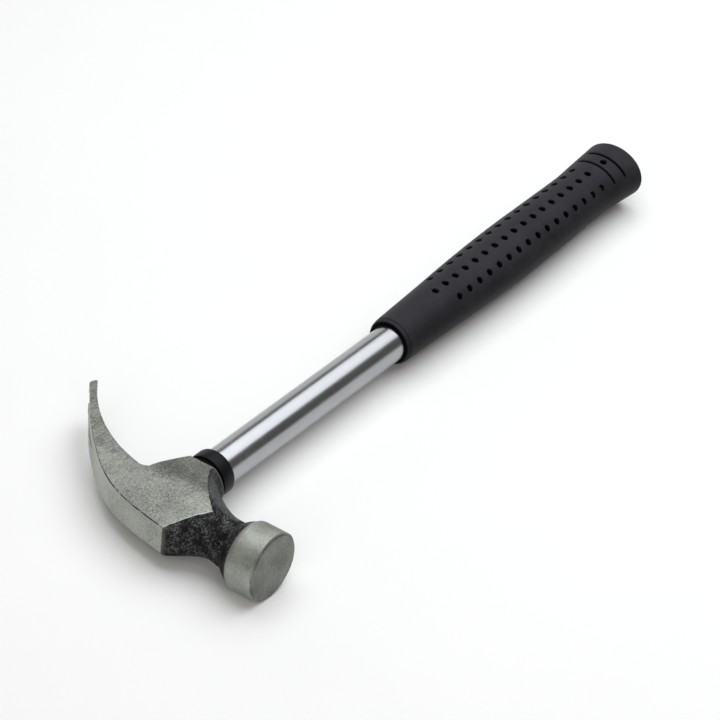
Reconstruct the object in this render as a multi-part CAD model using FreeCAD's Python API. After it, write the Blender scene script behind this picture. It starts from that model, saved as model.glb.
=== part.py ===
"""Claw hammer with a tubular steel handle, lying on its side.

The design frame has its origin where the handle's axis crosses the axis of the
striking face: +X runs down the handle to the butt, +Y points to the claw and +Z is
one cheek of the head. Every piece is made there, in millimetres, and then moved so
that the origin is under the middle of the hammer, on the surface it lies on.
"""
import FreeCAD, Part
import math
import os

V = FreeCAD.Vector
X_AXIS = V(1, 0, 0)
Y_AXIS = V(0, 1, 0)
Z_AXIS = V(0, 0, 1)
ORIGIN = V(0, 0, 0)

# Cutters and blanks reach past the head: this far along the handle and the head, and
# this far to each side of its middle plane
BEYOND = 90.0
BEYOND_CHEEKS = 20.0

# Handle tube
TUBE_R = 8.0
TUBE_WALL = 1.2
TUBE_BORE_R = TUBE_R - TUBE_WALL
TUBE_START = 1.0
TUBE_END = 321.0

# Eye boss and the blind eye that the tube is pressed into
BOSS_START = 2.0
BOSS_BOTTOM = 25.3
BOSS_R = 11.1
BOSS_FLARE = 0.37
EYE_DEPTH = 25.3
MOUTH_OVERRUN = 5.0

# Collar: a ring below the boss, with a thinner spigot that seats in the eye's mouth
COLLAR_R = 9.75
COLLAR_TOP = 27.6
COLLAR_BOTTOM = 34.4
COLLAR_CHAMFER = 0.5
SPIGOT_R = 8.9
SPIGOT_DEPTH = 2.0

# Poll: its shoulder is (radius, distance behind SHOULDER_Y) stations
FACE_Y = -54.3
POLL_R = 14.6
FACE_CHAMFER = 0.8
SHOULDER_Y = -43.0
SHOULDER = [(14.6, 0.0), (13.9, 1.6), (12.9, 3.6), (11.2, 6.2), (9.8, 8.5)]
SHOULDER_END_DIRECTION = (-0.25, 1.0)
POLL_CORE_STEP = 1.5

# Cheeks: flat planes that widen from the top strip to a ridge, then draw in again
STRIP_HALF = 6.3
STRIP_HALF_AT_TIP = 7.1
CHEEK_SLOPE = 0.17
RIDGE_X = 8.5
RIDGE_HALF = 10.4
RIDGE_SLOPE = 0.067
WEDGE_OUTWARD = 5.0
WEDGE_INWARD = 50.0
WEDGE_BEFORE = [-40.0, -26.0, -14.0, -5.0]
WEDGE_STEPS = 8
WEDGE_AFTER = [5.0, 12.0]

# Claw: its top edge, the circle that its underside follows, and its root on the boss
TOP_CURVE = [(-15.5, -12.0), (-12.3, 4.6), (-6.0, 21.8), (5.2, 37.0), (20.4, 52.4), (37.75, 66.5)]
TOP_START_TANGENT = (0.16, 1.0)
INNER_CENTRE = (86.4, -1.2)
INNER_R = 80.4
TIP_THICKNESS = 3.1
TIP_SLANT = 2.6
TIP_BULGE = 0.55
ROOT_CORNER = (6.9, 13.6)
ROOT_FILLET_R = 7.5
BOSS_SIDE_SLOPE = 0.4625

# Slot between the tines of the claw
SLOT_ROOT = (14.5, 46.0)
SLOT_ROOT_R = 0.9
SLOT_TIP_HALF = 3.0
SLOT_OVERRUN = 1.3

# Bell-shaped side of the boss: stations (x, radius) from its mouth towards the neck,
# and how far towards the poll the boss itself fills it
BELL = [(25.3, 10.8), (23.0, 11.35), (20.0, 12.9), (17.0, 15.6), (14.0, 20.0), (11.5, 27.0), (10.0, 35.0)]
FILLER_DEPTH = 14.0

# Underside of the neck: a round hollow between the poll and the boss, about a line
# through HOLLOW_CENTRE that is square to the cheeks. Its edge is (outward, z) stations
# from the middle of its wall to the cheek.
HOLLOW_CENTRE = (31.6, -34.2)
HOLLOW_R = 21.0
HOLLOW_EDGE = [(0.0, 2.8), (1.0, 4.7), (3.0, 7.2), (6.5, 10.2), (9.5, 12.6)]

# Neck: stations towards the poll, each y and then four corners (x, z) of its upper half
NECK_STATIONS = [
    (-12.0, (-15.5, 6.3), (-15.2, 6.4), (6.0, 10.3), (24.0, 10.3)),
    (-19.5, (-11.9, 4.9), (-9.3, 7.15), (4.8, 9.8), (24.0, 9.8)),
    (-27.0, (-8.7, 3.4), (-4.8, 7.3), (4.6, 9.2), (24.0, 9.2)),
    (-32.0, (-9.0, 3.6), (-4.4, 8.0), (4.6, 9.2), (24.0, 9.2)),
    (-37.0, (-9.7, 4.0), (-4.5, 9.0), (4.8, 9.4), (24.0, 9.4)),
]

# Grip: stations along the handle, each (x, half height in y, half width in z, offset in y)
GRIP_STATIONS = [
    (151.5, 9.75, 9.75, 0.3),
    (154.0, 10.3, 10.3, 0.4),
    (158.0, 10.6, 10.4, 0.5),
    (186.5, 12.0, 10.7, 1.0),
    (212.0, 13.2, 11.2, 1.5),
    (242.0, 13.8, 11.5, 2.1),
    (275.0, 13.3, 11.1, 2.9),
    (296.0, 12.9, 10.8, 3.5),
    (309.0, 13.4, 11.1, 4.0),
    (327.8, 14.6, 12.1, 4.15),
]
OVAL_LEAST = 0.001
GRIP_LIP_ROUND = 1.65
GRIP_BUTT_ROUND = 1.3

# Plugs inside the tube
PLUG_LENGTH = 21.0
PLUG_TAPER = 3.0
PLUG_NOSE_STEP = 1.5
CAP_SPIGOT = 12.0
CAP_FLANGE = 2.0


def spline_through(points, closed=False, tangents=None):
    """A smooth curve edge through the points."""
    curve = Part.BSplineCurve()
    if tangents:
        curve.interpolate(Points=points, InitialTangent=tangents[0], FinalTangent=tangents[1])
    else:
        curve.interpolate(Points=points, PeriodicFlag=closed)
    return curve.toShape()


def extrude_both_ways(wire, half_height):
    """A flat outline in the XY plane made a prism from -half_height to +half_height."""
    face = Part.Face(wire)
    face.translate(V(0, 0, -half_height))
    return face.extrude(V(0, 0, 2 * half_height))


def ring(x_start, x_end, r_outer, r_inner):
    """A plain sleeve around the handle's axis."""
    start = V(x_start, 0, 0)
    outer = Part.makeCylinder(r_outer, x_end - x_start, start, X_AXIS)
    return outer.cut(Part.makeCylinder(r_inner, x_end - x_start, start, X_AXIS))


def top_curve_edge():
    """The outer edge of the claw and cheeks, seen square on to a cheek."""
    points = [V(x, y, 0) for x, y in TOP_CURVE]
    last = points[-1] - points[-2]
    return spline_through(points, tangents=(V(*TOP_START_TANGENT, 0), last))


def cheek_wedge():
    """The solid between the two cheeks, from past the neck to past the claw's tips.

    Its sections are square to the top curve: as wide as the top strip at the curve,
    and wider at a constant slope away from it. Straight stations carry it past both ends
    of the curve.
    """
    curve = top_curve_edge()
    low, high = curve.ParameterRange
    stations = [(0.0, beyond) for beyond in WEDGE_BEFORE]
    stations += [(step / (WEDGE_STEPS - 1), 0.0) for step in range(WEDGE_STEPS)]
    stations += [(1.0, beyond) for beyond in WEDGE_AFTER]
    wires = []
    for share, beyond in stations:
        at = low + (high - low) * share
        tangent = curve.tangentAt(at)
        point = curve.valueAt(at) + tangent * beyond
        inward = V(tangent.y, -tangent.x, 0)
        near = point - inward * WEDGE_OUTWARD
        far = point + inward * WEDGE_INWARD
        half = STRIP_HALF + (STRIP_HALF_AT_TIP - STRIP_HALF) * share ** 2
        near_half = half - CHEEK_SLOPE * WEDGE_OUTWARD
        far_half = half + CHEEK_SLOPE * WEDGE_INWARD
        corners = [
            near + Z_AXIS * near_half,
            far + Z_AXIS * far_half,
            far - Z_AXIS * far_half,
            near - Z_AXIS * near_half,
        ]
        wires.append(Part.makePolygon(corners + corners[:1]))
    return Part.makeLoft(wires, True, False)


def ridge_prism():
    """Everything inside the two planes that draw in below the cheek's ridge."""
    half_low = RIDGE_HALF + RIDGE_SLOPE * (RIDGE_X + BEYOND)
    half_high = RIDGE_HALF - RIDGE_SLOPE * (BEYOND - RIDGE_X)
    corners = [
        V(-BEYOND, -BEYOND, -half_low),
        V(BEYOND, -BEYOND, -half_high),
        V(BEYOND, -BEYOND, half_high),
        V(-BEYOND, -BEYOND, half_low),
    ]
    face = Part.Face(Part.makePolygon(corners + corners[:1]))
    return face.extrude(V(0, 2 * BEYOND, 0))


def head_plan():
    """The flat outline of the claw, the cheeks and the boss, seen square on to a cheek."""
    top = top_curve_edge()
    tip_outer = V(*TOP_CURVE[-1], 0)
    tip_tangent = top.tangentAt(top.ParameterRange[1])
    tip_across = V(tip_tangent.y, -tip_tangent.x, 0)
    centre = V(*INNER_CENTRE, 0)
    tip_inner = tip_outer + tip_across * TIP_THICKNESS + tip_tangent * TIP_SLANT
    to_tip = math.atan2(tip_inner.y - centre.y, tip_inner.x - centre.x)
    tip_inner = centre + V(math.cos(to_tip), math.sin(to_tip), 0) * INNER_R
    tip_middle = (tip_outer + tip_inner) * 0.5 + tip_tangent * (TIP_THICKNESS * TIP_BULGE)
    tip = Part.Arc(tip_outer, tip_middle, tip_inner).toShape()

    side_start = V(*ROOT_CORNER, 0)
    side_end = V(BOSS_BOTTOM, ROOT_CORNER[1] - BOSS_SIDE_SLOPE * (BOSS_BOTTOM - ROOT_CORNER[0]), 0)
    along = (side_end - side_start).normalize()
    across = V(-along.y, along.x, 0)
    fillet_centre = fillet_between(centre, INNER_R, side_start, along, across)
    on_inner = centre + (fillet_centre - centre).normalize() * INNER_R
    on_side = fillet_centre - across * ROOT_FILLET_R
    corner = ((on_inner + on_side) * 0.5 - fillet_centre).normalize()
    fillet = Part.Arc(on_inner, fillet_centre + corner * ROOT_FILLET_R, on_side).toShape()
    to_root = math.atan2(on_inner.y - centre.y, on_inner.x - centre.x)
    to_middle = (to_tip + to_root) / 2
    middle = centre + V(math.cos(to_middle), math.sin(to_middle), 0) * INNER_R
    inner = Part.Arc(tip_inner, middle, on_inner).toShape()

    start = V(*TOP_CURVE[0], 0)
    inside_boss = [V(BOSS_BOTTOM, 0, 0), V(0, start.y, 0)]
    corners = [on_side, side_end] + inside_boss + [start]
    lines = []
    for first, second in zip(corners, corners[1:]):
        lines.append(Part.makeLine(first, second))
    return Part.Wire([top, tip, inner, fillet] + lines)


def fillet_between(centre, radius, start, along, across):
    """The centre of the root fillet, which touches the claw's underside and the boss."""
    offset = start + across * ROOT_FILLET_R
    to_start = offset - centre
    b = to_start.dot(along)
    c = to_start.dot(to_start) - (radius - ROOT_FILLET_R) ** 2
    return offset + along * (-b - math.sqrt(b * b - c))


def boss():
    """The round boss about the handle's axis, which flares faster on the poll's side."""
    length = BOSS_BOTTOM - BOSS_START
    start_r = BOSS_R + BOSS_FLARE * length
    return Part.makeCone(start_r, BOSS_R, length, V(BOSS_START, 0, 0), X_AXIS)


def boss_front():
    """The bell-shaped side of the boss that runs into the neck's underside."""
    bell = [V(x, r, 0) for x, r in BELL]
    outline = [V(BOSS_BOTTOM, 0, 0), V(-BEYOND, 0, 0), V(-BEYOND, bell[-1].y, 0), bell[-1]]
    edges = [spline_through(bell), Part.makeLine(bell[0], outline[0])]
    for first, second in zip(outline, outline[1:]):
        edges.append(Part.makeLine(first, second))
    profile = Part.Wire(Part.__sortEdges__(edges))
    bell_solid = Part.Face(profile).revolve(ORIGIN, X_AXIS, 360)
    low_corner = V(0, -FILLER_DEPTH, -BEYOND_CHEEKS)
    filler = Part.makeBox(BOSS_BOTTOM, FILLER_DEPTH, 2 * BEYOND_CHEEKS, low_corner)
    return neck().fuse(filler).common(bell_solid)


def neck():
    """The eight-sided neck, which opens out into the cheeks."""
    sections = []
    for y, *corners in NECK_STATIONS:
        upper = [V(x, y, z) for x, z in corners]
        lower = [V(x, y, -z) for x, z in reversed(corners)]
        around = upper + lower
        sections.append(Part.makePolygon(around + around[:1]))
    return Part.makeLoft(sections, True, False)


def underside_hollow():
    """The cutter for the round hollow under the neck, between the poll and the boss."""
    edges = []
    for side in (1, -1):
        curve = [V(HOLLOW_R + out, 0, side * z) for out, z in HOLLOW_EDGE]
        ends = (V(0, 0, side), V(0.8, 0, 0.6 * side))
        corner = V(curve[-1].x, 0, side * BEYOND_CHEEKS)
        on_axis = V(0, 0, side * BEYOND_CHEEKS)
        edges.append(spline_through(curve, tangents=ends))
        edges.append(Part.makeLine(curve[-1], corner))
        edges.append(Part.makeLine(corner, on_axis))
    wall_half = HOLLOW_EDGE[0][1]
    edges.append(Part.makeLine(V(HOLLOW_R, 0, -wall_half), V(HOLLOW_R, 0, wall_half)))
    edges.append(Part.makeLine(V(0, 0, -BEYOND_CHEEKS), V(0, 0, BEYOND_CHEEKS)))
    profile = Part.Wire(Part.__sortEdges__(edges))
    cutter = Part.Face(profile).revolve(ORIGIN, Z_AXIS, 360)
    cutter.translate(V(*HOLLOW_CENTRE, 0))
    return cutter


def poll():
    """The round striking end, turned about the Y axis."""
    outline = [
        V(0, FACE_Y, 0),
        V(POLL_R - FACE_CHAMFER, FACE_Y, 0),
        V(POLL_R, FACE_Y + FACE_CHAMFER, 0),
        V(POLL_R, SHOULDER_Y, 0),
    ]
    edges = []
    for first, second in zip(outline, outline[1:]):
        edges.append(Part.makeLine(first, second))
    shoulder = [V(r, SHOULDER_Y + behind, 0) for r, behind in SHOULDER]
    edges.append(spline_through(shoulder, tangents=(Y_AXIS, V(*SHOULDER_END_DIRECTION, 0))))
    inside = shoulder[-1] + V(-POLL_CORE_STEP, POLL_CORE_STEP, 0)
    axis_end = V(0, inside.y, 0)
    edges.append(Part.makeLine(shoulder[-1], inside))
    edges.append(Part.makeLine(inside, axis_end))
    edges.append(Part.makeLine(axis_end, outline[0]))
    return Part.Face(Part.Wire(edges)).revolve(ORIGIN, Y_AXIS, 360)


def nail_slot():
    """The cutter for the V between the two tines of the claw."""
    root = V(*SLOT_ROOT, 0)
    tip = V(*TOP_CURVE[-1], 0)
    along = (tip - root).normalize()
    length = (tip - root).Length
    opening = SLOT_ROOT_R + (SLOT_TIP_HALF - SLOT_ROOT_R) * SLOT_OVERRUN
    far = root + along * length * SLOT_OVERRUN
    through = V(-along.y, along.x, 0)
    corners = [
        root + Z_AXIS * SLOT_ROOT_R,
        far + Z_AXIS * opening,
        far - Z_AXIS * opening,
        root - Z_AXIS * SLOT_ROOT_R,
    ]
    below = through * -BEYOND_CHEEKS
    face = Part.Face(Part.makePolygon(corners + corners[:1]))
    face.translate(below)
    wedge = face.extrude(below * -2)
    rounded = Part.makeCylinder(SLOT_ROOT_R, 2 * BEYOND_CHEEKS, root + below, through)
    return wedge.fuse(rounded)


def head():
    """The one-piece forging, with its blind eye and the slot in the claw."""
    body = extrude_both_ways(head_plan(), BEYOND_CHEEKS).fuse(boss()).fuse(boss_front())
    forging = body.cut(underside_hollow())
    ground = forging.common(cheek_wedge()).common(ridge_prism())
    whole = ground.fuse(poll())
    eye_start = BOSS_BOTTOM - EYE_DEPTH
    eye = Part.makeCylinder(TUBE_R, EYE_DEPTH + MOUTH_OVERRUN, V(eye_start, 0, 0), X_AXIS)
    seat_start = BOSS_BOTTOM - SPIGOT_DEPTH
    seat_length = SPIGOT_DEPTH + MOUTH_OVERRUN
    seat = Part.makeCylinder(SPIGOT_R, seat_length, V(seat_start, 0, 0), X_AXIS)
    whole = whole.cut(eye).cut(seat).cut(nail_slot())
    return whole.removeSplitter()


def handle_tube():
    """The plated steel tube, from the bottom of the eye to the butt of the grip."""
    return ring(TUBE_START, TUBE_END, TUBE_R, TUBE_BORE_R)


def collar():
    """The ring below the boss, with its spigot in the mouth of the eye."""
    length = COLLAR_BOTTOM - COLLAR_TOP
    body = Part.makeCylinder(COLLAR_R, length, V(COLLAR_TOP, 0, 0), X_AXIS)
    body = body.makeChamfer(COLLAR_CHAMFER, body.Edges)
    spigot_start = BOSS_BOTTOM - SPIGOT_DEPTH
    spigot_length = COLLAR_TOP + COLLAR_CHAMFER - spigot_start
    spigot = Part.makeCylinder(SPIGOT_R, spigot_length, V(spigot_start, 0, 0), X_AXIS)
    bore_length = COLLAR_BOTTOM - spigot_start
    bore = Part.makeCylinder(TUBE_R, bore_length, V(spigot_start, 0, 0), X_AXIS)
    return body.fuse(spigot).cut(bore).removeSplitter()


def grip():
    """The oval rubber sleeve, closed at the butt, on the tube and its end plug."""
    sections = []
    for x, half_y, half_z, offset in GRIP_STATIONS:
        wide = max(half_y, half_z + OVAL_LEAST)
        oval = Part.Ellipse(V(x, offset + wide, 0), V(x, offset, half_z), V(x, offset, 0))
        sections.append(Part.Wire(oval.toShape()))
    sleeve = Part.makeLoft(sections, True, False)
    ends = sorted(sleeve.Edges, key=lambda edge: edge.CenterOfMass.x)
    sleeve = sleeve.makeFillet(GRIP_LIP_ROUND, [ends[0]])
    ends = sorted(sleeve.Edges, key=lambda edge: edge.BoundBox.XMin)
    sleeve = sleeve.makeFillet(GRIP_BUTT_ROUND, [ends[-1]])
    start = GRIP_STATIONS[0][0]
    depth = TUBE_END + CAP_FLANGE - start
    return sleeve.cut(Part.makeCylinder(TUBE_R, depth, V(start, 0, 0), X_AXIS))


def expansion_plug():
    """The steel plug that keeps the tube tight in the blind eye."""
    straight = PLUG_LENGTH - PLUG_TAPER
    body = Part.makeCylinder(TUBE_BORE_R, straight, V(TUBE_START, 0, 0), X_AXIS)
    nose_start = V(TUBE_START + straight, 0, 0)
    nose = Part.makeCone(TUBE_BORE_R, TUBE_BORE_R - PLUG_NOSE_STEP, PLUG_TAPER, nose_start, X_AXIS)
    return body.fuse(nose).removeSplitter()


def tube_end_plug():
    """The plastic plug that caps the tube's cut end inside the grip."""
    spigot = Part.makeCylinder(TUBE_BORE_R, CAP_SPIGOT, V(TUBE_END - CAP_SPIGOT, 0, 0), X_AXIS)
    flange = Part.makeCylinder(TUBE_R, CAP_FLANGE, V(TUBE_END, 0, 0), X_AXIS)
    return spigot.fuse(flange).removeSplitter()


def main():
    pieces = {
        "head": head(),
        "handle_tube": handle_tube(),
        "collar": collar(),
        "grip": grip(),
        "expansion_plug": expansion_plug(),
        "tube_end_plug": tube_end_plug(),
    }
    box = Part.makeCompound(list(pieces.values())).optimalBoundingBox()
    to_row = V(-(box.XMin + box.XMax) / 2, -(box.YMin + box.YMax) / 2, -box.ZMin)
    os.makedirs("parts", exist_ok=True)
    for name, shape in pieces.items():
        shape.translate(to_row)
        shape.exportStep("parts/" + name + ".step")
        solids = len(shape.Solids)
        print(name, "valid", shape.isValid(), "solids", solids, "volume", round(shape.Volume))
    print("box", box.XLength, box.YLength, box.ZLength, "moved by", to_row)


main()
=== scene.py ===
# %% [markdown]
# # A claw hammer with a tubular handle
# The hammer lies on its side on a pale table. The CAD model gives every piece its real
# size and place, and this script dresses it: it rounds and smooths what the light plays
# on, moulds the pattern of the rubber grip and gives each piece its finish.

# %% Load the CAD frame
import math

import bmesh
import bpy
from mathutils import Matrix, Vector


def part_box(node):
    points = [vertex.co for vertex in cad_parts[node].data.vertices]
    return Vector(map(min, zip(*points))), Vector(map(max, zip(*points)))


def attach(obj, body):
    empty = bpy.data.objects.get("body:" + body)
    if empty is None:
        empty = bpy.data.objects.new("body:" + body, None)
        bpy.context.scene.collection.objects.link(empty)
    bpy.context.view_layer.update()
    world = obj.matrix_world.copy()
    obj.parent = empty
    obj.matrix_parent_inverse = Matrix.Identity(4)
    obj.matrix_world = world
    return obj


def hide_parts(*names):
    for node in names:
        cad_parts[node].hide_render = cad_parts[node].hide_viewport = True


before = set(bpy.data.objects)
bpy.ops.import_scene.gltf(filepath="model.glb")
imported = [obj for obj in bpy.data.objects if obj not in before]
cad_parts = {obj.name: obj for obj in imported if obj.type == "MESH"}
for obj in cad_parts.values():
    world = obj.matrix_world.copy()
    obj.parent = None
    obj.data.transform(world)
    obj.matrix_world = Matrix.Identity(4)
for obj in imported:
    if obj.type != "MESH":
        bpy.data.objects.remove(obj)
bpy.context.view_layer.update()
MM = 0.001

# %% [markdown]
# ## Where things are
# A hammer is drawn from two lines: the handle's axis and the striking axis, which cross
# inside the head. Measured from that crossing, every feature keeps a simple number, so
# the rest of the script works in millimetres from it. The tube gives the handle's axis,
# and the tube's own end lies 1 mm past the crossing.

# %% The crossing of the handle's axis and the striking axis
TUBE_START = 1.0
tube_low, tube_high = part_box("handle_tube")
tube_middle = (tube_low + tube_high) / 2
crossing = Vector((tube_low.x - TUBE_START * MM, tube_middle.y, tube_middle.z))
print("crossing, mm:", [round(value / MM, 2) for value in crossing])


def place(x, y, z):
    """A point in millimetres from the crossing, as a place in the scene."""
    return crossing + Vector((x, y, z)) * MM


# %% [markdown]
# ## Shader maths written as Python
# A material is a net of nodes. Wiring dozens of Math nodes by hand hides the idea, so one
# small class wraps a socket and gives it +, -, * and /. An expression such as
# `1 - mask * 0.5` then adds its own nodes. Only numbers go through it: a Math node would
# turn a colour grey, so colours and vectors have their own Mix and Vector Math nodes.

# %% Sockets that can be added and multiplied
class Value:
    """One number that may change over the surface."""

    def __init__(self, finish, socket):
        self.finish = finish
        self.socket = socket

    def maths(self, operation, *others, first=None):
        inputs = [self] + list(others) if first is None else [first, self]
        made = self.finish.node("ShaderNodeMath", {"operation": operation}, inputs)
        return Value(self.finish, made.outputs[0])

    def __add__(self, other):
        return self.maths("ADD", other)

    __radd__ = __add__

    def __sub__(self, other):
        return self.maths("SUBTRACT", other)

    def __rsub__(self, other):
        return self.maths("SUBTRACT", first=other)

    def __mul__(self, other):
        return self.maths("MULTIPLY", other)

    __rmul__ = __mul__

    def __truediv__(self, other):
        return self.maths("DIVIDE", other)

    def __pow__(self, other):
        return self.maths("POWER", other)

    def size(self):
        return self.maths("ABSOLUTE")

    def most(self, other):
        return self.maths("MAXIMUM", other)

    def ramp(self, start, end, low=0.0, high=1.0):
        """A smooth step from low at start to high at end. start may be past end."""
        if start > end:
            start, end, low, high = end, start, high, low
        settings = {"interpolation_type": "SMOOTHSTEP"}
        inputs = [self, start, end, low, high]
        made = self.finish.node("ShaderNodeMapRange", settings, inputs)
        return Value(self.finish, made.outputs[0])

    def table(self, pairs):
        """A number looked up in (at, result) pairs, with straight lines between them."""
        first, last = pairs[0][0], pairs[-1][0]
        results = [result for at, result in pairs]
        low, high = min(results), max(results)
        stops = []
        for at, result in pairs:
            grey = (result - low) / (high - low)
            stops.append(((at - first) / (last - first), (grey, grey, grey, 1.0)))
        share = (self - first) / (last - first)
        made = self.finish.node("ShaderNodeValToRGB", {"stops": stops}, [share])
        return Value(self.finish, made.outputs[0]) * (high - low) + low


class Finish:
    """A material under construction, with the place of each surface point in millimetres."""

    def __init__(self, name):
        self.material = bpy.data.materials.new(name)
        self.material.use_nodes = True
        self.tree = self.material.node_tree
        self.shader = self.tree.nodes["Principled BSDF"]
        held = self.node("ShaderNodeTexCoord", {}, []).outputs["Object"]
        moved = self.vector("SUBTRACT", held, tuple(crossing))
        self.at = self.vector("SCALE", moved, scale=1 / MM)
        parts = self.node("ShaderNodeSeparateXYZ", {}, [self.at])
        self.x, self.y, self.z = [Value(self, part) for part in parts.outputs]

    def node(self, kind, settings, inputs):
        """Adds a node: its settings first, and then the values or links of its inputs."""
        made = self.tree.nodes.new(kind)
        for name, setting in settings.items():
            if name == "stops":
                elements = made.color_ramp.elements
                while len(elements) < len(setting):
                    elements.new(0.5)
                for element, (position, colour) in zip(elements, setting):
                    element.position = position
                    element.color = colour
            else:
                setattr(made, name, setting)
        named = inputs.items() if isinstance(inputs, dict) else enumerate(inputs)
        for key, value in named:
            self.feed(made.inputs[key], value)
        return made

    def feed(self, socket, value):
        """Links a socket to a Value or another socket, or gives it a plain number."""
        if isinstance(value, Value):
            self.tree.links.new(value.socket, socket)
        elif isinstance(value, bpy.types.NodeSocket):
            self.tree.links.new(value, socket)
        elif value is not None:
            socket.default_value = value

    def vector(self, operation, first, second=None, scale=None):
        inputs = {0: first}
        if second is not None:
            inputs[1] = second
        if scale is not None:
            inputs["Scale"] = scale
        return self.node("ShaderNodeVectorMath", {"operation": operation}, inputs).outputs[0]

    def point(self, x, y, z):
        """Three numbers made one place, for a pattern that doesn't run along X, Y and Z."""
        return self.node("ShaderNodeCombineXYZ", {}, [x, y, z]).outputs[0]

    def noise(self, size, at=None, detail=3.0, roughness=0.55):
        """Cloudy values from 0 to 1, with clouds about size millimetres across."""
        inputs = {"Scale": 1.0 / size, "Detail": detail, "Roughness": roughness}
        inputs["Vector"] = self.at if at is None else at
        return Value(self, self.node("ShaderNodeTexNoise", {}, inputs).outputs[0])

    def mix(self, mask, first, second):
        """The first colour where mask is 0 and the second where it is 1."""
        made = self.node("ShaderNodeMix", {"data_type": "RGBA"}, {0: mask, 6: first, 7: second})
        return made.outputs[2]

    def shade(self, mask, dark, light):
        """A colour between dark and light, each given as red, green and blue."""
        return self.mix(mask, (*dark, 1.0), (*light, 1.0))

    def bump(self, height, depth):
        """Raises the surface by height times depth millimetres where it is lit."""
        inputs = {"Height": height, "Distance": depth * MM, "Strength": 1.0}
        self.feed(self.shader.inputs["Normal"], self.node("ShaderNodeBump", {}, inputs).outputs[0])

    def set(self, **sockets):
        """Sets the shader's inputs, such as Base_Color=... or Roughness=..."""
        for name, value in sockets.items():
            self.feed(self.shader.inputs[name.replace("_", " ")], value)


print("shader helpers ready")

# %% [markdown]
# ## From loose triangles to a smooth piece
# The CAD nodes arrive as loose triangles. A merged copy shares its corners, so it can be
# shaded smooth, and an edge is kept crisp only where two faces meet at a real angle. The
# copy stands for the CAD node, which stays untouched for the collision model.

# %% Helpers that turn a bmesh into a finished piece
def finished(bm, name, crisp_degrees):
    """Makes the bmesh an object, smooth but for its real edges."""
    bm.normal_update()
    crisp = math.radians(crisp_degrees)
    for edge in bm.edges:
        edge.smooth = len(edge.link_faces) == 2 and edge.calc_face_angle() < crisp
    for face in bm.faces:
        face.smooth = True
    mesh = bpy.data.meshes.new(name)
    bm.to_mesh(mesh)
    print(name, "faces", len(bm.faces), "open edges", sum(e.is_boundary for e in bm.edges))
    bm.free()
    piece = bpy.data.objects.new(name, mesh)
    bpy.context.scene.collection.objects.link(piece)
    return piece


def stand_in(piece, node, finish):
    """The piece rides on the hammer's one body, stands for the node and wears the finish."""
    piece.data.materials.clear()
    piece.data.materials.append(finish.material)
    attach(piece, "root")
    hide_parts(node)


def merged_copy(node):
    """A bmesh of the CAD node with its loose triangles joined."""
    bm = bmesh.new()
    bm.from_mesh(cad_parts[node].data)
    bmesh.ops.remove_doubles(bm, verts=bm.verts, dist=0.002 * MM)
    return bm


# %% [markdown]
# ## The head's shape
# The head is one forging, ground flat on the cheeks, the top strip and the claw. Each cheek
# rises to a low ridge, and a real grinder leaves that ridge soft, never a perfect corner. A
# bevel could round it. Strips that are cut along it and lowered do it too, and they keep
# the cheek's outline, so the cheek is cut into strips here.

# %% Soften the ridge of the cheeks
RIDGE_X = 8.5
RIDGE_SLOPES = 0.237
RIDGE_SOFT = 3.2
RIDGE_CHEEK_Z = 8.8
RIDGE_CUTS = 9


def soften_ridge(bm):
    """Cuts the cheeks into strips along the ridge and lowers them to a round crest."""
    for cut in range(RIDGE_CUTS):
        x = RIDGE_X + RIDGE_SOFT * (2 * cut / (RIDGE_CUTS - 1) - 1)
        everything = list(bm.verts) + list(bm.edges) + list(bm.faces)
        bmesh.ops.bisect_plane(
            bm, geom=everything, dist=0.0001 * MM, plane_co=place(x, 0, 0), plane_no=(1, 0, 0)
        )
    for corner in bm.verts:
        x, y, z = (corner.co - crossing) / MM
        off = abs(x - RIDGE_X)
        if off < RIDGE_SOFT and abs(z) > RIDGE_CHEEK_Z:
            drop = (RIDGE_SOFT - off) ** 2 * RIDGE_SLOPES / (4 * RIDGE_SOFT)
            corner.co.z -= math.copysign(drop * MM, z)


head_mesh = merged_copy("head")
soften_ridge(head_mesh)
head = finished(head_mesh, "head_forging", 9)

# %% [markdown]
# ## The head's finish
# Two surfaces meet on one piece of steel. The forged skin is dark, scaly and speckled, and
# the ground faces are bright with fine scratches. Two materials would need the mesh cut
# along their border. Instead both live in one material, and masks worked out from the
# place on the head say which one shows.

# %% Where the head's surfaces end, in millimetres
# On a cheek the ground face ends along this line: how far towards the poll, by x
GROUND_EDGE = [
    (-17.0, -12.0), (-15.2, -12.1), (-12.4, -13.3), (-8.7, -15.3), (-5.0, -17.2),
    (-1.5, -19.4), (1.8, -21.7), (2.7, -22.4), (5.4, -19.3), (8.2, -16.2),
    (13.2, -11.7), (18.1, -8.1), (22.3, -5.6), (28.0, -5.2),
]
# The top strip's half width, by y
STRIP_EDGE = [
    (-12.0, 6.3), (4.6, 6.323), (21.8, 6.4), (37.0, 6.538), (52.4, 6.766), (67.2, 7.1),
]
STRIP_START = -12.5
CLAW_START, CLAW_FULL = 14.0, 30.0
CLAW_CENTRE = (86.4, -1.2)
POLL_GROUND_Y = -41.0
FACE_START, FACE_FULL = -53.3, -54.2
FACE_R = 13.8
CORNER_END = -14.6
BOSS_MOUTH_X = 25.3
EYE_R = 10.6
# The round hollow under the neck: its centre in x and y, and its reach by z
HOLLOW = (31.6, -34.2)
HOLLOW_REACH = [(0.0, 21.0), (2.8, 21.0), (4.7, 22.0), (7.2, 24.0), (10.2, 27.5), (12.6, 30.5)]

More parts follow.
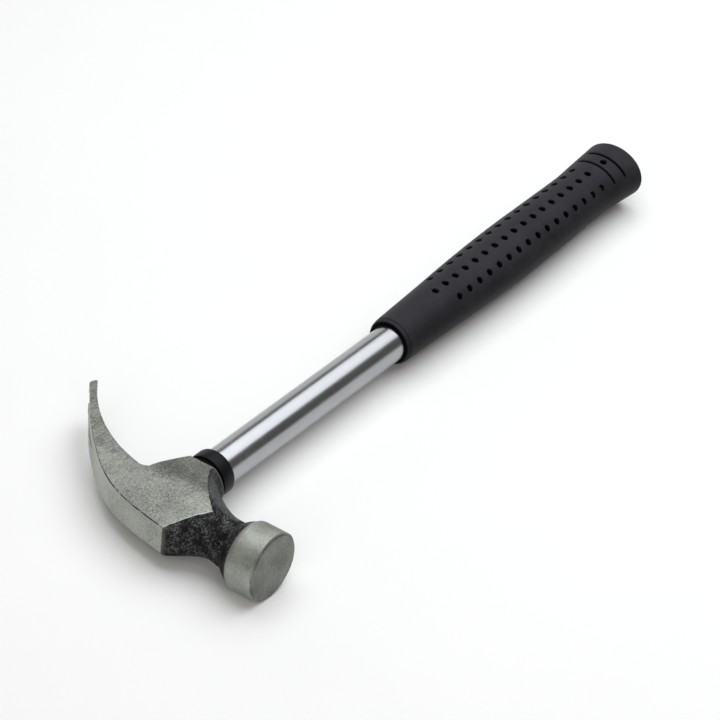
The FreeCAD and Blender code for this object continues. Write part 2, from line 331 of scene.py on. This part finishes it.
# %% The head's finish and the masks that its two surfaces share
steel = Finish("ground_and_forged_steel")
x, y, z = steel.x, steel.y, steel.z
wander = (steel.noise(2.5) - 0.5) * 1.0
past_ground = y - x.table(GROUND_EDGE)
cheek = (past_ground + wander).ramp(-0.2, 0.25)
poll = (y + wander).ramp(POLL_GROUND_Y + 0.5, POLL_GROUND_Y - 0.5)
ground = cheek.most(poll)
on_claw = y.ramp(CLAW_START, CLAW_FULL)
pits = steel.noise(0.8, detail=5.0, roughness=0.7)
specks = steel.noise(0.8, detail=4.0, roughness=0.85)

# Grinding lines run across the claw, along the radius of its inner curve
from_x, from_y = x - CLAW_CENTRE[0], y - CLAW_CENTRE[1]
radius = (from_x * from_x + from_y * from_y) ** 0.5
turn = from_y.maths("ARCTAN2", from_x)
lines = steel.noise(0.5, steel.point(turn * 80.0, radius * 0.16, z * 0.1), 3.0, 0.6)


# %% Ground steel
def ground_steel():
    """Bright steel with pits, lines and scratches, and a few thin painted highlight and shade
    lines at its borders.
    """
    scratch_place = steel.point((x + y) * 1.2, (x - y) * 0.09, z * 0.3)
    scratches = steel.noise(0.8, scratch_place, 3.0, 0.7)
    broad = steel.noise(11.0, detail=2.0)
    past_edge = z.size() - y.table(STRIP_EDGE)
    strip_light = past_edge.ramp(0.0, -0.12) * y.ramp(STRIP_START, STRIP_START + 1.0)
    face = y.ramp(FACE_START, FACE_FULL)
    boss_side_shade = x.ramp(5.5, 12.0) * y.ramp(-30.0, -20.0)

    # The strip is painted a little brighter than the cheeks as painted light, and the boss's side
    # a little darker as painted shade
    grain = pits * (1.2 - poll * 0.7) - 0.17 + poll * 0.46 - face * 0.24
    grain = grain + scratches.ramp(0.56, 0.72) * broad.ramp(0.4, 0.6) * 0.14
    bright = grain + lines * (on_claw * 0.6 + 0.15) + broad * 0.35 + strip_light * 0.16
    bright = bright - on_claw * 0.14 - boss_side_shade * 0.16
    colour = steel.shade(bright.ramp(0.35, 1.05), (0.10, 0.104, 0.093), (0.44, 0.46, 0.42))

    # A painted highlight: a bright line where the cheek's grinding ends, on the side of the top
    # strip
    cheek_edge_highlight = past_ground.ramp(0.75, 0.35) * past_ground.ramp(-0.8, -0.4)
    cheek_edge_highlight = cheek_edge_highlight * x.ramp(4.0, 2.0) * z.size().ramp(5.0, 7.0)
    colour = steel.mix(cheek_edge_highlight * 0.45, colour, (0.62, 0.63, 0.60, 1.0))

    # A thin dark line of painted shade beside the strip, broken, and fading towards the claw's tip
    strip_edge_shade = past_edge.ramp(-0.3, -0.1) * past_edge.ramp(0.1, 0.04)
    strip_edge_shade = strip_edge_shade * y.ramp(STRIP_START - 0.5, STRIP_START + 1.5)
    strip_edge_shade = strip_edge_shade * steel.noise(3.0).ramp(0.30, 0.55) * y.ramp(60.0, 20.0)
    colour = steel.mix(strip_edge_shade, colour, (0.02, 0.02, 0.018, 1.0))

    # A thin dark line of painted shade round the striking face, also broken
    from_strike = (x * x + z * z) ** 0.5
    face_rim_shade = from_strike.ramp(FACE_R - 0.35, FACE_R - 0.1)
    face_rim_shade = face_rim_shade * from_strike.ramp(FACE_R + 0.2, FACE_R)
    face_rim_shade = face_rim_shade * y.ramp(-52.5, -53.2) * steel.noise(6.0).ramp(0.42, 0.56)
    return steel.mix(face_rim_shade * 0.75, colour, (0.03, 0.03, 0.028, 1.0))


# %% Forged steel
def forged_steel():
    """Nearly black with pale specks, and greyer and more even in the neck's hollow."""
    patches = steel.noise(5.0, detail=2.0)
    from_hollow = ((x - HOLLOW[0]) ** 2.0 + (y - HOLLOW[1]) ** 2.0) ** 0.5
    hollow = (from_hollow - z.size().table(HOLLOW_REACH) + wander).ramp(2.8, 0.2)
    speck_mask = (specks + (patches - 0.5) * 0.35).ramp(0.48, 0.73) * (1.0 - hollow * 0.75)
    forged = steel.shade(speck_mask, (0.0015, 0.0015, 0.003), (0.185, 0.19, 0.185))
    under = steel.shade(specks.ramp(0.35, 0.7), (0.035, 0.036, 0.038), (0.14, 0.144, 0.144))
    dark = steel.mix(hollow, forged, under)

    # The corner past the strip's end and the boss's rim are painted a paler grey
    corner = y.ramp(CORNER_END, CORNER_END + 2.4) * x.ramp(-12.5, -14.5)
    dark = steel.mix(corner * 0.8, dark, (0.10, 0.10, 0.095, 1.0))
    rim = x.ramp(BOSS_MOUTH_X - 1.0, BOSS_MOUTH_X - 0.7)
    rim = rim * x.ramp(BOSS_MOUTH_X, BOSS_MOUTH_X - 0.3)
    dark = steel.mix(rim, dark, (0.11, 0.11, 0.105, 1.0))

    # The flat mouth of the boss, inside its rim, lies in the collar's gap, and its shadow there is
    # painted black
    from_axis = (y * y + z * z) ** 0.5
    mouth_shadow = x.ramp(BOSS_MOUTH_X - 0.15, BOSS_MOUTH_X - 0.02) * from_axis.ramp(EYE_R + 0.4, EYE_R)
    return steel.mix(mouth_shadow, dark, (0.001, 0.001, 0.001, 1.0))


# %% Put both surfaces on the head
roughcast = (1.0 - ground) * specks * 2.0 + ground * (lines * on_claw * 0.5 + pits * 0.5)
steel.set(
    Base_Color=steel.mix(ground, forged_steel(), ground_steel()),
    Metallic=ground * 0.55 + 0.2,
    Specular_IOR_Level=0.15,
    Roughness=ground.ramp(0.0, 1.0, 0.6, 0.47) + (pits - 0.5) * 0.15,
)
steel.bump(roughcast, 0.10)
stand_in(head, "head", steel)
print("nodes in the head's material:", len(steel.tree.nodes))

# %% [markdown]
# ## The handle tube
# A seamless steel tube with bright plating. It is a lathe shape: its half section spun
# once round the handle's axis. Plating mirrors whatever is around it, so its stripes come
# from the lights and the table, and the finish only adds haze and faint drawing lines.

# %% Spin a half section round the handle's axis
def turned(section, steps):
    """Spins (x, radius) stations once round the handle's axis into a closed bmesh."""
    bm = bmesh.new()
    corners = [bm.verts.new(place(x, radius, 0.0)) for x, radius in section]
    edges = [bm.edges.new(pair) for pair in zip(corners, corners[1:] + corners[:1])]
    bmesh.ops.spin(
        bm, geom=corners + edges, cent=crossing, axis=(1, 0, 0), angle=2 * math.pi,
        steps=steps, use_merge=True,
    )
    bmesh.ops.remove_doubles(bm, verts=bm.verts, dist=0.001 * MM)
    bmesh.ops.recalc_face_normals(bm, faces=bm.faces)
    return bm


TUBE_STEPS = 128
TUBE_WALL = 1.2
TUBE_R = (tube_high.z - tube_low.z) / 2 / MM
TUBE_BORE = TUBE_R - TUBE_WALL
tube_end = (tube_high.x - crossing.x) / MM
tube_section = [
    (TUBE_START, TUBE_BORE), (tube_end, TUBE_BORE), (tube_end, TUBE_R), (TUBE_START, TUBE_R),
]
tube = finished(turned(tube_section, TUBE_STEPS), "plated_tube", 30)


def plating():
    chrome = Finish("bright_plating")
    haze = chrome.noise(14.0, detail=2.0)
    draw_lines = chrome.noise(0.3, chrome.point(chrome.x * 0.01, chrome.y, chrome.z), 2.0)
    chrome.set(
        Base_Color=chrome.shade(haze, (0.335, 0.345, 0.36), (0.405, 0.415, 0.43)),
        Metallic=1.0,
        Roughness=haze * 0.06 + draw_lines * 0.06 + 0.19,
    )
    chrome.bump(draw_lines, 0.0006)
    return chrome


stand_in(tube, "handle_tube", plating())

# %% [markdown]
# ## The collar
# A short plastic ring hides the mouth of the eye. It is turned the same way as the tube,
# with its corners rounded a little and a thinner spigot that seats in the head.

# %% Collar
collar_low, collar_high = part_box("collar")
COLLAR_R = (collar_high.z - collar_low.z) / 2 / MM
SPIGOT_R = 8.9
RING_START = 27.6
COLLAR_ROUND = 0.5
collar_start = (collar_low.x - crossing.x) / MM
collar_end = (collar_high.x - crossing.x) / MM
rounding = [(1 - math.cos(a), 1 - math.sin(a)) for a in (0.0, 0.52, 1.05, math.pi / 2)]
collar_section = [(collar_start, TUBE_R), (collar_start, SPIGOT_R), (RING_START, SPIGOT_R)]
collar_section += [
    (RING_START + COLLAR_ROUND * along, COLLAR_R - COLLAR_ROUND * down)
    for along, down in rounding
]
collar_section += [
    (collar_end - COLLAR_ROUND * along, COLLAR_R - COLLAR_ROUND * down)
    for along, down in reversed(rounding)
]
collar_section += [(collar_end, TUBE_R)]
collar = finished(turned(collar_section, TUBE_STEPS), "eye_collar", 35)


def collar_finish():
    plastic = Finish("satin_black_plastic")
    grain = plastic.noise(0.25)
    cloud = plastic.noise(5.0)
    # The front face and the spigot lie deep in the gap under the boss: their shade is painted
    # black, and they are made duller
    shaded_gap = plastic.x.ramp(RING_START + 0.45, RING_START + 0.1)
    satin = plastic.shade(cloud, (0.003, 0.003, 0.0035), (0.007, 0.007, 0.008))
    plastic.set(
        Base_Color=plastic.mix(shaded_gap, satin, (0.0002, 0.0002, 0.0002, 1.0)),
        Roughness=cloud * 0.15 + 0.36 + shaded_gap * 0.45,
        Specular_IOR_Level=0.12,
    )
    plastic.bump(grain, 0.012)
    return plastic


stand_in(collar, "collar", collar_finish())

# %% [markdown]
# ## The rubber grip
# The grip is an oval sleeve that swells in the palm and flares at the butt. It could be
# carved from a subdivided block, but its section is the same oval all along, so a ring of
# corners is extruded station by station and set to size each time. Where the dimples and
# grooves lie the rings and columns are dense, so that the pattern is real geometry.

# %% The oval at any station
grip_low, grip_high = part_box("grip")
grip_start = (grip_low.x - crossing.x) / MM
grip_end = (grip_high.x - crossing.x) / MM
# (from the grip's front, half height, half width, offset towards the claw's side)
STATIONS = [
    (0.0, 9.75, 9.75, 0.3), (2.5, 10.3, 10.3, 0.4), (6.5, 10.6, 10.4, 0.5),
    (35.0, 12.0, 10.7, 1.0), (60.5, 13.2, 11.2, 1.5), (90.5, 13.8, 11.5, 2.1),
    (123.5, 13.3, 11.1, 2.9), (144.5, 12.9, 10.8, 3.5), (157.5, 13.4, 11.1, 4.0),
    (176.3, 14.6, 12.1, 4.15),
]


def slope_at(index, item):
    before = STATIONS[max(index - 1, 0)]
    after = STATIONS[min(index + 1, len(STATIONS) - 1)]
    return (after[item] - before[item]) / (after[0] - before[0])


def oval_at(x):
    """Half height, half width and offset at x, on a smooth curve through the stations."""
    along = min(max(x - grip_start, 0.0), STATIONS[-1][0])
    index = 0
    while index < len(STATIONS) - 2 and along > STATIONS[index + 1][0]:
        index += 1
    here, there = STATIONS[index], STATIONS[index + 1]
    span = there[0] - here[0]
    t = (along - here[0]) / span
    sizes = []
    for item in (1, 2, 3):
        leave, arrive = slope_at(index, item) * span, slope_at(index + 1, item) * span
        sizes.append(
            here[item] * (2 * t ** 3 - 3 * t ** 2 + 1)
            + leave * (t ** 3 - 2 * t ** 2 + t)
            + there[item] * (3 * t ** 2 - 2 * t ** 3)
            + arrive * (t ** 3 - t ** 2)
        )
    return sizes


print("oval at the palm, mm:", [round(size, 2) for size in oval_at(242.0)])

# %% [markdown]
# ## The moulded pattern
# Three rows of round dimples run along each side, a single dimple sits between two short
# grooves near the butt, and a thin groove goes all round behind the front lip. Each is a
# small rule that says how deep the rubber lies at a point, and the deepest one wins.

# %% Dimples and grooves
DIMPLE_START = 183.2
DIMPLE_STEP = 7.37
DIMPLE_R = 1.6
DIMPLE_DEPTH = 2.2
# Each row bows a little: (number of the dimple, its turn, how far it is moved along)
ROWS = [
    [(1, 55.8, 0.3), (3, 58.2, 0.2), (7, 61.3, -0.2), (12, 61.3, -0.2), (16, 61.3, -0.6)],
    [(0, 95.2, 0.1), (8, 96.5, -0.15), (12, 96.2, 0.2), (16, 96.1, 0.3)],
    [(1, 136.5, 0.4), (3, 133.8, 0.45), (5, 132.0, 0.5), (8, 131.6, 0.5), (12, 134.4, 0.55),
     (14, 136.4, 0.35), (15, 137.6, 0.1), (16, 137.6, -0.05)],
]
LONE_DIMPLE = (313.4, 98.0)
ARCS = [309.7, 317.3]
ARC_FROM, ARC_TO = 52.0, 148.0
ARC_HALF = 0.95
ARC_DEPTH = 0.9
LIP_GROOVE_X = 153.9
LIP_GROOVE_HALF = 0.45
LIP_GROOVE_DEPTH = 0.35

dimples = [LONE_DIMPLE]
for row in ROWS:
    # Between two numbers of a row, the turn and the move change evenly
    for (first, first_turn, first_move), (last, last_turn, last_move) in zip(row, row[1:]):
        for index in range(first + (first != row[0][0]), last + 1):
            share = (index - first) / (last - first)
            dimple_x = DIMPLE_START + DIMPLE_STEP * index
            dimple_x += first_move + (last_move - first_move) * share
            dimples.append((dimple_x, first_turn + (last_turn - first_turn) * share))


def soft_step(value, start, end):
    t = min(max((value - start) / (end - start), 0.0), 1.0)
    return t * t * (3 - 2 * t)


def hollow_depth(x, turn):
    """How deep the pattern lies below the smooth oval at x and at a turn in degrees."""
    side = turn if turn <= 180 else 360 - turn
    height, width, offset = oval_at(x)
    depth = 0.0
    for dimple_x, dimple_turn in dimples:
        along = x - dimple_x
        if abs(along) > DIMPLE_R * 1.4:
            continue
        mean = math.radians((side + dimple_turn) / 2)
        per_degree = math.hypot(height * math.sin(mean), width * math.cos(mean)) * math.pi / 180
        off = math.hypot(along, (side - dimple_turn) * per_degree)
        depth = max(depth, DIMPLE_DEPTH * (1 - soft_step(off, DIMPLE_R * 0.66, DIMPLE_R * 1.04)))
    fade = soft_step(side, ARC_FROM - 2, ARC_FROM + 3)
    fade *= 1 - soft_step(side, ARC_TO - 3, ARC_TO + 2)
    for arc_x in ARCS:
        across = abs(x - arc_x)
        depth = max(depth, ARC_DEPTH * fade * (1 - soft_step(across, ARC_HALF * 0.4, ARC_HALF)))
    across = abs(x - LIP_GROOVE_X)
    return max(depth, LIP_GROOVE_DEPTH * (1 - soft_step(across, 0.1, LIP_GROOVE_HALF)))


print("dimples on each side:", len(dimples))

# %% Rings and columns, dense where the pattern is
def spaced(start, end, step):
    count = max(1, round((end - start) / step))
    return [start + (end - start) * index / count for index in range(count)]


LIP_ROUND = 1.65
BUTT_ROUND = 1.3
# Turns, in degrees, close together where the rows of dimples run
half_turns = spaced(0.0, 46.0, 5.2) + spaced(46.0, 70.0, 1.35) + spaced(70.0, 86.0, 3.3)
half_turns += spaced(86.0, 106.0, 1.35) + spaced(106.0, 122.5, 3.3) + spaced(122.5, 146.5, 1.35)
half_turns += spaced(146.5, 180.0, 4.4)
turns = half_turns + [180.0] + [360.0 - turn for turn in reversed(half_turns) if turn > 0]

groove_start, groove_end = LIP_GROOVE_X - 0.7, LIP_GROOVE_X + 0.7
pattern_start, pattern_end = DIMPLE_START - 2.0, ARCS[1] + 1.0
ring_xs = spaced(grip_start + LIP_ROUND, groove_start, 0.5)
ring_xs += spaced(groove_start, groove_end, 0.15)
ring_xs += spaced(groove_end, pattern_start, 2.0)
ring_xs += spaced(pattern_start, pattern_end, 0.3)
ring_xs += spaced(pattern_end, grip_end - BUTT_ROUND, 1.0)
print("rings", len(ring_xs), "columns", len(turns))

# %% [markdown]
# Extruding the ring along the handle makes the sleeve's outside. The lip and the butt are
# finished with short rings that follow a quarter circle, and the bore is a last pair of
# rings, so the sleeve is one closed skin.

# %% Build the grip
def ring_points(x, inset, patterned):
    """The ring's corners at x, drawn in by inset and by the pattern's depth."""
    height, width, offset = oval_at(x)
    points = []
    for turn in turns:
        angle = math.radians(turn)
        outward = Vector((0, math.cos(angle) / height, math.sin(angle) / width)).normalized()
        depth = inset + (hollow_depth(x, turn) if patterned else 0.0)
        point = Vector((x, offset + height * math.cos(angle), width * math.sin(angle)))
        points.append(place(*(point - outward * depth)))
    return points


def bore_points(x):
    return [
        place(x, TUBE_R * math.cos(math.radians(turn)), TUBE_R * math.sin(math.radians(turn)))
        for turn in turns
    ]


quarter = [index * math.pi / 12 for index in range(1, 7)]
rings = [bore_points(grip_start)]
for angle in reversed(quarter):
    lip_x = grip_start + LIP_ROUND * (1 - math.sin(angle))
    rings.append(ring_points(lip_x, LIP_ROUND * (1 - math.cos(angle)), False))
# The lip's front rings count as sunk, so that the finish paints them with the same black shade as
# the pattern
LIP_FRONT_RINGS = 5
LIP_FRONT_SHADE_DEPTH = 0.8
ring_shade_depths = [[LIP_FRONT_SHADE_DEPTH] * len(turns) for ring in rings[:LIP_FRONT_RINGS]]
ring_shade_depths += [[0.0] * len(turns) for ring in rings[LIP_FRONT_RINGS:]]
for ring_x in ring_xs:
    rings.append(ring_points(ring_x, 0.0, True))
    ring_shade_depths.append([hollow_depth(ring_x, turn) for turn in turns])
for angle in [0.0] + quarter:
    butt_x = grip_end - BUTT_ROUND * (1 - math.sin(angle))
    rings.append(ring_points(butt_x, BUTT_ROUND * (1 - math.cos(angle)), False))
    ring_shade_depths.append([0.0] * len(turns))


def extruded(bm, loop, points):
    """Extrudes a ring of corners and puts the new ring's corners at the points."""
    edges = [bm.edges.get(pair) for pair in zip(loop, loop[1:] + loop[:1])]
    made = bmesh.ops.extrude_edge_only(bm, edges=edges)["geom"]
    new = {item for item in made if isinstance(item, bmesh.types.BMVert)}
    next_loop = []
    for corner, point in zip(loop, points):
        pairs = [edge.other_vert(corner) for edge in corner.link_edges]
        grown = [vert for vert in pairs if vert in new][0]
        grown.co = point
        next_loop.append(grown)
    return next_loop


# %% Extrude ring after ring and close both ends
BORE_PAST_TUBE = 2.0
bm = bmesh.new()
sunk = bm.verts.layers.float.new("sunk")
front = [bm.verts.new(point) for point in rings[0]]
for pair in zip(front, front[1:] + front[:1]):
    bm.edges.new(pair)
loop = front
for points, depths in zip(rings[1:], ring_shade_depths[1:]):
    loop = extruded(bm, loop, points)
    for corner, depth in zip(loop, depths):
        corner[sunk] = depth
butt_middle = sum((corner.co for corner in loop), Vector()) / len(loop)
for share in (0.75, 0.4, 0.1):
    loop = extruded(bm, loop, [butt_middle.lerp(point, share) for point in rings[-1]])
bm.faces.new(loop)
bm.faces.new(extruded(bm, front, bore_points(tube_end + BORE_PAST_TUBE)))
bmesh.ops.recalc_face_normals(bm, faces=bm.faces)
shades = [corner[sunk] for corner in bm.verts]
grip = finished(bm, "rubber_grip", 50)
pattern = grip.data.attributes.new("pattern_depth", "FLOAT", "POINT")
for corner, shade in zip(pattern.data, shades):
    corner.value = shade
print("grip triangles", sum(len(face.vertices) - 2 for face in grip.data.polygons))

# %% [markdown]
# ## The rubber
# Moulded rubber is nearly black but never one flat black: its broad sides are painted
# slightly paler as painted light, and its fine grain breaks up the gloss. The depth of the
# pattern is kept on the mesh, so the bottoms of the dimples can be painted black as painted shade.

# %% Rubber finish
def rubber():
    black = Finish("moulded_rubber")
    cloud = black.noise(18.0, detail=4.0)
    grain = black.noise(0.45, detail=2.0)
    dust = black.noise(3.0, detail=5.0, roughness=0.7)
    tone = cloud * 0.5 + dust * 0.5
    stored = black.node("ShaderNodeAttribute", {"attribute_name": "pattern_depth"}, [])
    depth = Value(black, stored.outputs["Fac"])
    # Painted light: the broad sides are painted paler than the narrow edges, with a cloudy border
    broad_side_light = (black.z.size() + (cloud - 0.5) * 3.0).ramp(1.0, 11.5)
    shade = tone.ramp(0.3, 0.7) * 0.3 + broad_side_light * 0.7
    skin = black.shade(shade, (0.007, 0.007, 0.0078), (0.033, 0.032, 0.0385))
    black.set(
        # Painted shade: the dimples, the grooves and the lip's front are painted black by their
        # stored depth
        Base_Color=black.mix(depth.ramp(0.08, 0.6), skin, (0.0006, 0.0006, 0.0006, 1.0)),
        Roughness=cloud * 0.14 + grain * 0.08 + 0.36 + depth.ramp(0.2, 1.0) * 0.4,
        Specular_IOR_Level=0.06,
    )
    black.bump(grain, 0.02)
    return black


stand_in(grip, "grip", rubber())

# %% [markdown]
# ## What the tube hides
# A steel plug keeps the tube tight in the eye, and a plastic one caps its cut end. Neither
# shows, but each is a real piece, so it keeps its CAD shape and gets its own finish.

# %% Hidden plugs
def turned_steel():
    steel = Finish("turned_plug_steel")
    rings = steel.noise(0.4, steel.point(steel.x, steel.y * 0.02, steel.z * 0.02), 2.0)
    steel.set(
        Base_Color=steel.shade(rings, (0.22, 0.22, 0.215), (0.38, 0.38, 0.37)),
        Metallic=1.0,
        Roughness=rings * 0.2 + 0.4,
    )
    steel.bump(rings, 0.02)
    return steel


def plain_cap():
    plastic = Finish("cap_plastic")
    cloud = plastic.noise(2.0)
    plastic.set(
        Base_Color=plastic.shade(cloud, (0.035, 0.035, 0.035), (0.06, 0.06, 0.06)),
        Roughness=cloud * 0.2 + 0.45,
    )
    plastic.bump(cloud, 0.01)
    return plastic


for node, slot_name, finish in (
    ("expansion_plug", "plug_steel", turned_steel()),
    ("tube_end_plug", "cap_plastic", plain_cap()),
):
    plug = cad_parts[node]
    plug.data.materials.clear()
    plug.data.materials.append(finish.material)

# %% [markdown]
# ## The table and the light
# A pale table fills the view. One broad soft light hangs above, past the butt, so the
# plating mirrors it as a wide bright stripe. A second one, beyond the head, lights the steel
# and the rubber, and a weak panel stands low on the claw's side. The room is darker than
# any of them, and that gives the plating its brown-grey stripe.

# %% Table
TABLE_HALF = 3.0
bm = bmesh.new()
bmesh.ops.create_grid(bm, x_segments=8, y_segments=8, size=TABLE_HALF)
mesh = bpy.data.meshes.new("table_top")
bm.to_mesh(mesh)
bm.free()
table_top = bpy.data.objects.new("table_top", mesh)
bpy.context.scene.collection.objects.link(table_top)
table_finish = Finish("pale_table")
cloud = table_finish.noise(60.0)
table_finish.set(
    Base_Color=table_finish.shade(cloud, (0.86, 0.86, 0.86), (0.88, 0.88, 0.88)),
    Roughness=0.9,
)
mesh.materials.append(table_finish.material)
print("table side, m:", 2 * TABLE_HALF)


# %% Lights
def soft_light(name, at, aim, size, power, colour):
    """A square soft light at a place, turned to face another, in metres and watts."""
    lamp = bpy.data.lights.new(name, "AREA")
    lamp.shape = "RECTANGLE"
    lamp.size, lamp.size_y = size
    lamp.energy = power
    lamp.color = colour
    light = bpy.data.objects.new(name, lamp)
    bpy.context.scene.collection.objects.link(light)
    facing = (Vector(aim) - Vector(at)).to_track_quat("-Z", "Y")
    light.matrix_world = Matrix.Translation(at) @ facing.to_matrix().to_4x4()


# (name, place, what it faces, width and height, power, colour)
LIGHTS = [
    ("overhead", (0.35, -0.05, 1.0), (0.35, -0.05, 0.0), (1.6, 1.3), 15.5, (0.96, 0.98, 1.0)),
    ("front_fill", (-1.4, -0.7, 1.1), (0.0, 0.0, 0.0), (1.4, 1.4), 12.0, (1.0, 0.99, 0.97)),
    ("back_panel", (0.9, 1.5, 0.45), (0.1, 0.0, 0.1), (1.8, 0.8), 4.0, (1.0, 1.0, 0.99)),
]
for light in LIGHTS:
    soft_light(*light)
print("lights:", ", ".join(light[0] for light in LIGHTS))

# %% The room around the table
ROOM_COLOUR = (1.0, 0.95, 0.86, 1.0)
ROOM_BRIGHTNESS = 0.15
room = bpy.data.worlds.new("room")
bpy.context.scene.world = room
room.use_nodes = True
background = room.node_tree.nodes["Background"]
background.inputs["Color"].default_value = ROOM_COLOUR
background.inputs["Strength"].default_value = ROOM_BRIGHTNESS
bpy.context.scene.view_settings.view_transform = "Standard"

# %% [markdown]
# ## The camera
# A long lens from far away keeps the hammer's lines nearly parallel. The camera is placed
# by the turn, height and tilt of its view, which are easy to change by hand.

# %% Camera
# Angles are in degrees, the aim and the distance in millimetres
TURN, HEIGHT, TILT = -57.3364, 35.2711, 5.8219
AIM = (70.24, -39.13, 53.75)
DISTANCE = 1800.0
LENS, SENSOR = 231.355, 36.0
FAR_LIMIT = 20.0
turn_angle, height_angle = math.radians(TURN), math.radians(HEIGHT)
back = Vector((
    math.sin(turn_angle) * math.cos(height_angle),
    -math.cos(turn_angle) * math.cos(height_angle),
    math.sin(height_angle),
))
level = (-back).to_track_quat("-Z", "Y").to_matrix()
tilted = level @ Matrix.Rotation(math.radians(TILT), 3, "Z")
camera_data = bpy.data.cameras.new("camera")
camera_data.lens = LENS
camera_data.sensor_width = SENSOR
camera_data.clip_end = FAR_LIMIT
camera = bpy.data.objects.new("camera", camera_data)
bpy.context.scene.collection.objects.link(camera)
camera.matrix_world = Matrix.Translation(place(*AIM) + back * DISTANCE * MM) @ tilted.to_4x4()
bpy.context.scene.camera = camera
print("camera at, m:", [round(value, 3) for value in camera.matrix_world.translation])
